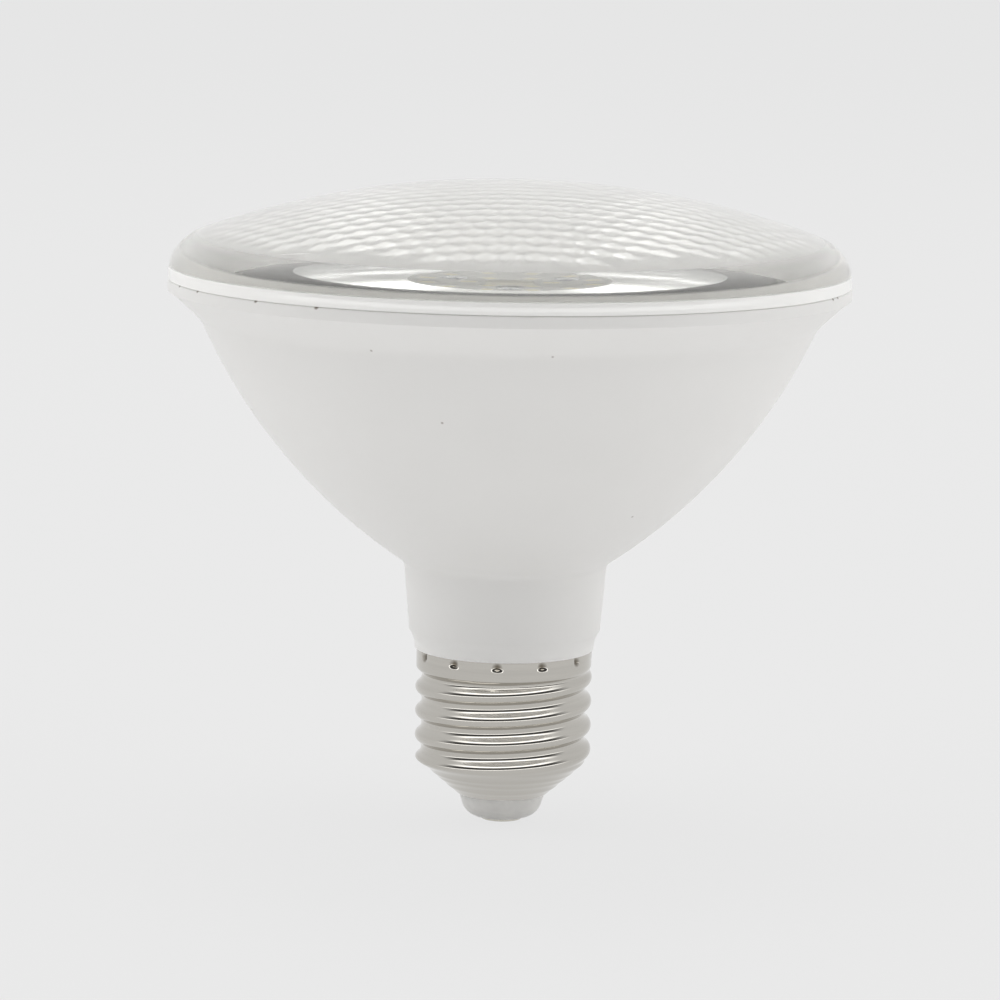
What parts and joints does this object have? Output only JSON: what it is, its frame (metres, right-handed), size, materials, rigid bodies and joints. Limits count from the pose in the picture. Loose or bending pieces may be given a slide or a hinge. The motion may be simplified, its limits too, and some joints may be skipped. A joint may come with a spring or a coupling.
{
  "type": "par spotlight bulb",
  "caption": "Reflector spotlight lamp with a clear domed lens, a white bowl and neck, and a screw cap.",
  "frame": {"origin": "tip of the contact pin, on the lamp's axis", "axes": "+Z along the axis, from the screw cap to the lens"},
  "size_m": [0.1, 0.1, 0.095],
  "materials": {
    "clear_lens": "clear polycarbonate, smooth outside, honeycomb inside",
    "reflector_metal": "vacuum metallised plastic",
    "white_housing": "white moulded plastic, satin",
    "aluminium_sheet": "pressed sheet",
    "white_board": "white solder mask on a metal core board",
    "steel_screw": "zinc plated",
    "connector_plastic": "white connector plastic",
    "green_board": "green glass fibre board",
    "capacitor_sleeve": "dark sleeve",
    "film_box": "yellow potting box",
    "ferrite": "ferrite",
    "bobbin_plastic": "black phenolic",
    "enamelled_copper": "enamelled copper wire and tape",
    "black_package": "moulded epoxy",
    "resistor_body": "blue-green lacquer",
    "brown_wire": "insulated wire",
    "blue_wire": "insulated wire",
    "red_wire": "insulated wire",
    "black_wire": "insulated wire",
    "nickel_shell": "nickel plated rolled sheet, a little warm",
    "insulator_plastic": "pale moulded insulator",
    "contact_brass": "nickel plated brass",
    "diode_package": "white package with yellow phosphor"
  },
  "bodies": {
    "root": {"cover_lens": "clear_lens", "reflector": "reflector_metal", "housing": "white_housing", "heat_sink": "aluminium_sheet", "led_board": "white_board", "board_screws": "steel_screw", "led_connector": "connector_plastic", "driver_board": "green_board", "input_capacitor": "capacitor_sleeve", "output_capacitor": "capacitor_sleeve", "film_capacitor": "film_box", "transformer_core": "ferrite", "transformer_bobbin": "bobbin_plastic", "transformer_winding": "enamelled_copper", "bridge_rectifier": "black_package", "driver_chip": "black_package", "fuse_resistor": "resistor_body", "output_diode": "black_package", "live_wire": "brown_wire", "neutral_wire": "blue_wire", "led_positive_wire": "red_wire", "led_negative_wire": "black_wire", "screw_shell": "nickel_shell", "cap_insulator": "insulator_plastic", "contact_pin": "contact_brass", "led_chip_01": "diode_package", "led_chip_02": "diode_package", "led_chip_03": "diode_package", "led_chip_04": "diode_package", "led_chip_05": "diode_package", "led_chip_06": "diode_package", "led_chip_07": "diode_package", "led_chip_08": "diode_package", "led_chip_09": "diode_package", "led_chip_10": "diode_package", "led_chip_11": "diode_package", "led_chip_12": "diode_package", "led_chip_13": "diode_package", "led_chip_14": "diode_package", "led_chip_15": "diode_package", "led_chip_16": "diode_package", "led_chip_17": "diode_package", "led_chip_18": "diode_package"}
  },
  "joints": []
}
